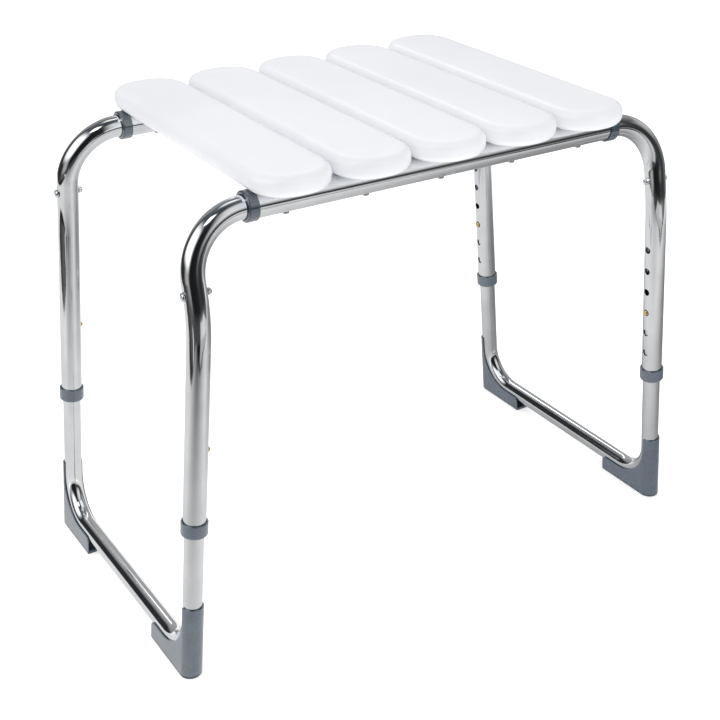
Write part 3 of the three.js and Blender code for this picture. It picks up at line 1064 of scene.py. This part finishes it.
class Look(Nodes):
    """A node material built on one Principled shader."""

    def __init__(self, name, **settings):
        self.material = bpy.data.materials.new(name)
        self.material.use_nodes = True
        super().__init__(self.material.node_tree)
        self.shader = self.tree.nodes["Principled BSDF"]
        for key, value in settings.items():
            self.socket(key).default_value = value

    def socket(self, key):
        return self.shader.inputs[key.replace("_", " ")]

    def place(self, source="Object", scale=(1, 1, 1)):
        """Coordinates of a source ("Object" or "UV"), scaled on each axis."""
        origin = self.node("TexCoord").outputs[source]
        return self.node("Mapping", {"Vector": origin, "Scale": scale}).outputs["Vector"]

    def noise(self, coordinates, scale, detail=2.0, roughness=0.5):
        return self.node("TexNoise", {"Vector": coordinates, "Scale": scale, "Detail": detail,
                                      "Roughness": roughness}).outputs["Fac"]

    def between(self, factor, low, high):
        return self.node("MapRange", {"Value": factor, "From Min": NOISE_LOW,
                                      "From Max": NOISE_HIGH, "To Min": low,
                                      "To Max": high}).outputs["Result"]

    def tinted(self, factor, first, second):
        """A colour that runs from one sRGB hex code to another as a factor rises."""
        return self.ramp(factor, [(NOISE_LOW, colour(first)), (NOISE_HIGH, colour(second))])

    def bump(self, height, distance, strength=1.0, below=None):
        inputs = {"Height": height, "Distance": distance, "Strength": strength}
        if below:
            inputs["Normal"] = below
        return self.node("Bump", inputs).outputs["Normal"]

    def set(self, **links):
        for key, value in links.items():
            self.tree.links.new(value, self.socket(key))
        return self.material


def slat_plastic():
    """Moulded satin white plastic: a fine moulded grain over faint broad unevenness."""
    look = Look("slat_plastic", Specular_IOR_Level=0.5, Coat_Weight=0.08, Coat_Roughness=0.2)
    place = look.place()
    broad = look.noise(place, 9, 3)
    fine = look.noise(place, 900, 2)
    grain = look.noise(place, 2600, 3, 0.6)
    base = look.tinted(broad, "EFF0F4", "F4F5F8")
    rough = look.between(fine, 0.30, 0.38)
    relief = look.bump(grain, 0.02 * MM, 0.35, look.bump(broad, 0.5 * MM, 0.2))
    return look.set(Base_Color=base, Roughness=rough, Normal=relief)


def chrome():
    """Polished chrome plate: faint drawn lines along the tube, polishing haze and soft waviness."""
    look = Look("chrome_tube", Metallic=1.0)
    place = look.place()
    lines = look.noise(look.place("UV", (0.6, 14, 1)), 60, 2)
    haze = look.noise(place, 35, 3)
    waves = look.noise(place, 45, 1)
    base = look.tinted(haze, "DFE1E3", "EBECEE")
    rough = look.between(haze, 0.05, 0.1)
    relief = look.bump(lines, 0.004 * MM, 0.4, look.bump(waves, 0.12 * MM, 0.35))
    return look.set(Base_Color=base, Roughness=rough, Normal=relief)


def blue_grey(name, dark, light, smooth, dull):
    """Moulded blue-grey plastic: slight colour drift, a fine matt grain and duller patches."""
    look = Look(name, Coat_Weight=1.0, Coat_IOR=1.9, Coat_Roughness=smooth)
    place = look.place()
    drift = look.noise(place, 60, 3)
    patches = look.noise(place, 90, 2)
    grain = look.noise(place, 3200, 3, 0.6)
    base = look.tinted(drift, dark, light)
    rough = look.between(patches, smooth, dull)
    relief = look.bump(grain, 0.02 * MM, 0.4)
    return look.set(Base_Color=base, Roughness=rough, Normal=relief)


def metal(name, dark, light, smooth, dull):
    """A turned metal: rings of fine tool marks and a little tarnish."""
    look = Look(name, Metallic=1.0)
    place = look.place()
    tarnish = look.noise(place, 500, 3)
    marks = look.noise(look.place("Object", (0.2, 0.2, 1)), 5000, 2)
    base = look.tinted(tarnish, dark, light)
    rough = look.between(tarnish, smooth, dull)
    relief = look.bump(marks, 0.01 * MM, 0.3)
    return look.set(Base_Color=base, Roughness=rough, Normal=relief)


# ---- the stool ----


def build_stool():
    white = slat_plastic()
    plate = chrome()
    matt = blue_grey("grey_plastic", "42505F", "4D5B6A", 0.22, 0.32)
    polished = blue_grey("polished_plastic", "32404C", "3C4A56", 0.1, 0.2)
    brass = metal("brass", "DDBF7A", "F0DDA6", 0.14, 0.24)
    steel = metal("steel", "DADCE0", "F0F1F3", 0.12, 0.22)
    spring_steel = metal("spring_steel", "6A6D72", "8D9197", 0.25, 0.4)

    for number in SLATS:
        show(f"slat_{number}", slat_mesh(number), white)
    screw = pan_screw_mesh()
    for row in ROWS:
        show(f"{row}_rail", rail_mesh(row), plate)
        for number in SLATS:
            x = middle_and_half(f"slat_{number}")[0].x
            under = (x, ROWS[row] * RAIL_OFFSET, RAIL_HEIGHT - RAIL_RADIUS - GAP)
            show(f"slat_screw_{row}_{number}", screw, steel, Matrix.Translation(under))

    bushing = bushing_mesh()
    collar = collar_mesh()
    bolt = bolt_mesh()
    nut = cap_nut_mesh()
    button = button_mesh()
    spring = spring_mesh()
    collar_base = Matrix.Translation((0, 0, COLLAR_MIDDLE - COLLAR_HEIGHT / 2))
    for side in SIDES:
        show(f"lower_frame_{side}", lower_frame_mesh(side), plate, leaning(side))
    for row, side in CORNERS:
        corner = f"{row}_{side}"
        # the rear feet are turned about, so for them the same lean is to the other side
        lean = SIDES[side] * ROWS[row] * SPLAY
        show(f"upper_leg_{corner}", upper_leg_mesh(row, side), plate)
        show(f"rail_bushing_{corner}", bushing, polished,
             bushing_placement(row, side))
        show(f"leg_collar_{corner}", collar, matt,
             corner_frame(row, side) @ collar_base)
        show(f"foot_{corner}", foot_mesh(lean), matt, foot_placement(row, side))
        show(f"leg_bolt_{corner}", bolt, steel, bolt_placement(row, side))
        show(f"cap_nut_{corner}", nut, steel, bolt_placement(row, side))
        show(f"snap_button_{corner}", button, brass, button_placement(row, side))
        show(f"snap_spring_{corner}", spring, spring_steel,
             spring_placement(row, side))


# ---- camera, floor and light ----

VIEW_AZIMUTH = math.radians(-32.0)
VIEW_ELEVATION = math.radians(27.42)
VIEW_ROLL = math.radians(-0.29)
VIEW_TARGET = Vector((0, 0, 0.197))
VIEW_DISTANCE = 1.505
VIEW_LENS = 67.72
VIEW_SHIFT = (-0.0068, -0.0028)
FLOOR_RADIUS = 4.5
FLOOR_DEPTH = 0.2 * MM
FLOOR_GLOW = 0.46


def grey(level, warmth=0.0):
    """A grey radiance, a little warmer or cooler."""
    return (level * (1 + warmth), level, level * (1 - warmth))


# The studio. Azimuths run in degrees from +Y toward +X and elevations in degrees from level. A
# radiance of 1 is white.

# the map that reflections see, in bands from below the horizon to the ceiling, each a list of
# (azimuth, radiance) or (azimuth, radiance, warmth), and the elevations between which one band
# turns into the next
SHADE = grey(0.015)
SHADE_EDGE = (-20.4, -19.2)
HORIZON_AROUND = [(-180, 0.2), (-165, 0.08), (-130, 0.06), (-95, 0.12), (-74, 0.06), (-45, 0.03),
                  (32, 0.1), (112, 0.05), (138, 0.2), (158, 0.35), (180, 0.2)]
HORIZON_EDGE = (-14, -8)
WALLS_AROUND = [(-180, 0.02, -0.1), (-150, 0.012), (-125, 0.015), (-116, 0.3), (-104, 0.5),
                (-88, 0.35), (-74, 0.03), (-26, 0.03, -0.1), (-14, 0.3), (32, 0.42), (80, 0.3),
                (112, 0.12), (135, 0.03), (165, 0.05, -0.1), (180, 0.02, -0.1)]
CEILING_EDGE = (38, 62)
CEILING_AROUND = [(-180, 0.06, -0.15), (-60, 0.1, -0.15), (60, 0.22, -0.08), (180, 0.06, -0.15)]

# the soft light that falls on surfaces, from level and from straight above
SOFT_AROUND = [(-180, 0.85), (-150, 0.3), (-120, 0.15), (-95, 0.65), (-50, 1.35), (0, 0.8),
               (60, 0.5), (120, 0.6), (160, 0.8), (180, 0.85)]
SOFT_ABOVE = grey(1.47)

# lamps that face the seat: (name, azimuth, elevation, size, radiance)
SEAT = Vector((0, 0, 0.4))
LAMP_DISTANCE = 2.6
LAMPS = [("left", -88, 32, (4.81, 2.86), 1.5),
         ("front_right", 158, 32, (2.73, 3.64), 0.8),
         ("front_left", -125, 62, (1.17, 0.78), 4.5),
         ("right", 95, 16, (3.12, 1.17), 0.3),
         ("back", 31, 34, (1.95, 0.52), 2.6),
         ("overhead", 20, 78, (1.56, 1.04), 1.0)]
# how far from its middle a lamp starts to fade, as a share of its width and of its height
LAMP_CORE = 0.15

# a bright sheet on the floor and the dark spots on it: (place, [(distance, radiance)])
SHEET_HEIGHT = 0.001
SHEET_CORNERS = (-1.12, -0.87), (1.9, 2.0)
SHEET_SPOTS = [((-0.82, -0.95, 0), [(0.1, 0.03), (0.2, 0.2), (0.4, 0.34), (0.6, 0.5), (0.8, 0.66),
                                    (1, 0.8)]),
               ((0.8, -0.03, 0), [(0.2, 0.22), (0.45, 0.34), (0.6, 0.52), (0.85, 0.8)])]
# smaller patches beyond the sheet's left and front edges: (name, x, y, size, radiance)
FLOOR_PATCHES = [("patch_left", -1.36, -0.45, (0.4, 0.14), 0.7),
                 ("patch_front", 0.14, -1.4, (1.25, 1.0), 0.5)]


def direction(azimuth, elevation):
    """A unit vector at an azimuth and an elevation."""
    around = math.radians(azimuth)
    up = math.radians(elevation)
    return Vector((math.sin(around) * math.cos(up), math.cos(around) * math.cos(up), math.sin(up)))


def add_camera():
    back = Vector((math.sin(VIEW_AZIMUTH) * math.cos(VIEW_ELEVATION),
                   -math.cos(VIEW_AZIMUTH) * math.cos(VIEW_ELEVATION),
                   math.sin(VIEW_ELEVATION)))
    camera = new_object("camera", bpy.data.cameras.new("camera"))
    camera.data.lens = VIEW_LENS
    camera.data.shift_x, camera.data.shift_y = VIEW_SHIFT
    camera.location = VIEW_TARGET + back * VIEW_DISTANCE
    level = (-back).to_track_quat("-Z", "Y").to_matrix()
    camera.rotation_euler = (level @ Matrix.Rotation(VIEW_ROLL, 3, "Z")).to_euler()
    bpy.context.scene.camera = camera


def add_floor():
    """A pale round floor, wide enough to fill the view. Reflections see the studio instead."""
    work = bmesh.new()
    bmesh.ops.create_circle(work, cap_ends=True, segments=96, radius=FLOOR_RADIUS)
    floor = new_object("floor", new_mesh("floor", work))
    floor.location.z = -FLOOR_DEPTH
    floor.visible_glossy = False
    look = Look("floor", Base_Color=(0.9, 0.9, 0.9, 1), Roughness=0.9, Specular_IOR_Level=0.1,
                Emission_Color=(1, 1, 1, 1), Emission_Strength=FLOOR_GLOW)
    floor.data.materials.append(look.material)


def add_world():
    """The soft light that falls on surfaces, the studio's map for reflections, and plain white
    for the camera beyond the floor."""
    world = bpy.data.worlds.new("studio")
    bpy.context.scene.world = world
    world.use_nodes = True
    world.cycles.sampling_method = "NONE"
    nodes = Nodes(world.node_tree)
    toward = nodes.node("SeparateXYZ", {"Vector": nodes.node("TexCoord").outputs["Generated"]})
    x, y, z = (toward.outputs[axis] for axis in "XYZ")
    around = nodes.math("ARCTAN2", x, y)
    turn = nodes.node("MapRange", {"Value": around, "From Min": -math.pi, "From Max": math.pi})
    rise = nodes.math("ARCSINE", z)

    def band(stops):
        return nodes.ramp(turn.outputs["Result"],
                          [((angle + 180) / 360, grey(*shade)) for angle, *shade in stops])

    def blend(edge, below, above):
        low, high = (math.radians(angle) for angle in edge)
        return nodes.mixed(nodes.smooth(rise, low, high), below, above)

    studio = blend(SHADE_EDGE, (*SHADE, 1), band(HORIZON_AROUND))
    studio = blend(HORIZON_EDGE, studio, band(WALLS_AROUND))
    studio = blend(CEILING_EDGE, studio, band(CEILING_AROUND))
    soft = blend((0, 90), band(SOFT_AROUND), (*SOFT_ABOVE, 1))
    ray = nodes.node("LightPath")
    seen = nodes.mixed(ray.outputs["Is Glossy Ray"], soft, studio)
    seen = nodes.mixed(ray.outputs["Is Camera Ray"], seen, (1, 1, 1, 1))
    nodes.tree.links.new(seen, nodes.tree.nodes["Background"].inputs["Color"])


def add_lamp(name, at, aim, size, radiance):
    """A flat light that only reflections see, facing a point."""
    light = bpy.data.lights.new(name, "AREA")
    light.shape = "RECTANGLE"
    light.size, light.size_y = size
    light.energy = radiance * math.pi * size[0] * size[1]
    lamp = new_object(name, light)
    lamp.location = at
    lamp.rotation_euler = (Vector(at) - Vector(aim)).to_track_quat("Z", "Y").to_euler()
    lamp.visible_camera = False
    lamp.visible_diffuse = False
    return light


def soften(light):
    """Fades a lamp from its middle to its rim, so that its reflections have soft edges."""
    light.use_nodes = True
    nodes = Nodes(light.node_tree)
    place = nodes.node("SeparateXYZ", {"Vector": nodes.node("NewGeometry").outputs["Parametric"]})
    across, up = (nodes.smooth(nodes.math("ABSOLUTE",
                                          nodes.math("SUBTRACT", place.outputs[axis], 0.5)),
                               0.5, LAMP_CORE) for axis in "XY")
    nodes.tree.links.new(nodes.math("MULTIPLY", across, up),
                         nodes.tree.nodes["Emission"].inputs["Strength"])


def add_sheet():
    """The bright part of the floor that reflections see, with its dark spots."""
    (left, front), (right, back) = SHEET_CORNERS
    at = Vector(((left + right) / 2, (front + back) / 2, SHEET_HEIGHT))
    light = add_lamp("sheet", at, at + Z_AXIS, (right - left, back - front), 1.0)
    light.use_nodes = True
    nodes = Nodes(light.node_tree)
    place = nodes.node("NewGeometry").outputs["Position"]
    near, far = (nodes.ramp(nodes.node("VectorMath", {0: place, 1: spot},
                                       operation="DISTANCE").outputs["Value"],
                            [(distance, grey(level)) for distance, level in shades])
                 for spot, shades in SHEET_SPOTS)
    nodes.tree.links.new(nodes.mixed(1, near, far, "DARKEN"),
                         nodes.tree.nodes["Emission"].inputs["Color"])


def add_studio():
    add_world()
    for name, azimuth, elevation, size, radiance in LAMPS:
        at = SEAT + direction(azimuth, elevation) * LAMP_DISTANCE
        soften(add_lamp(name, at, SEAT, size, radiance))
    for name, x, y, size, radiance in FLOOR_PATCHES:
        at = Vector((x, y, SHEET_HEIGHT))
        add_lamp(name, at, at + Z_AXIS, size, radiance)
    add_sheet()
    bpy.context.scene.view_settings.view_transform = "Standard"


build_stool()
add_camera()
add_floor()
add_studio()
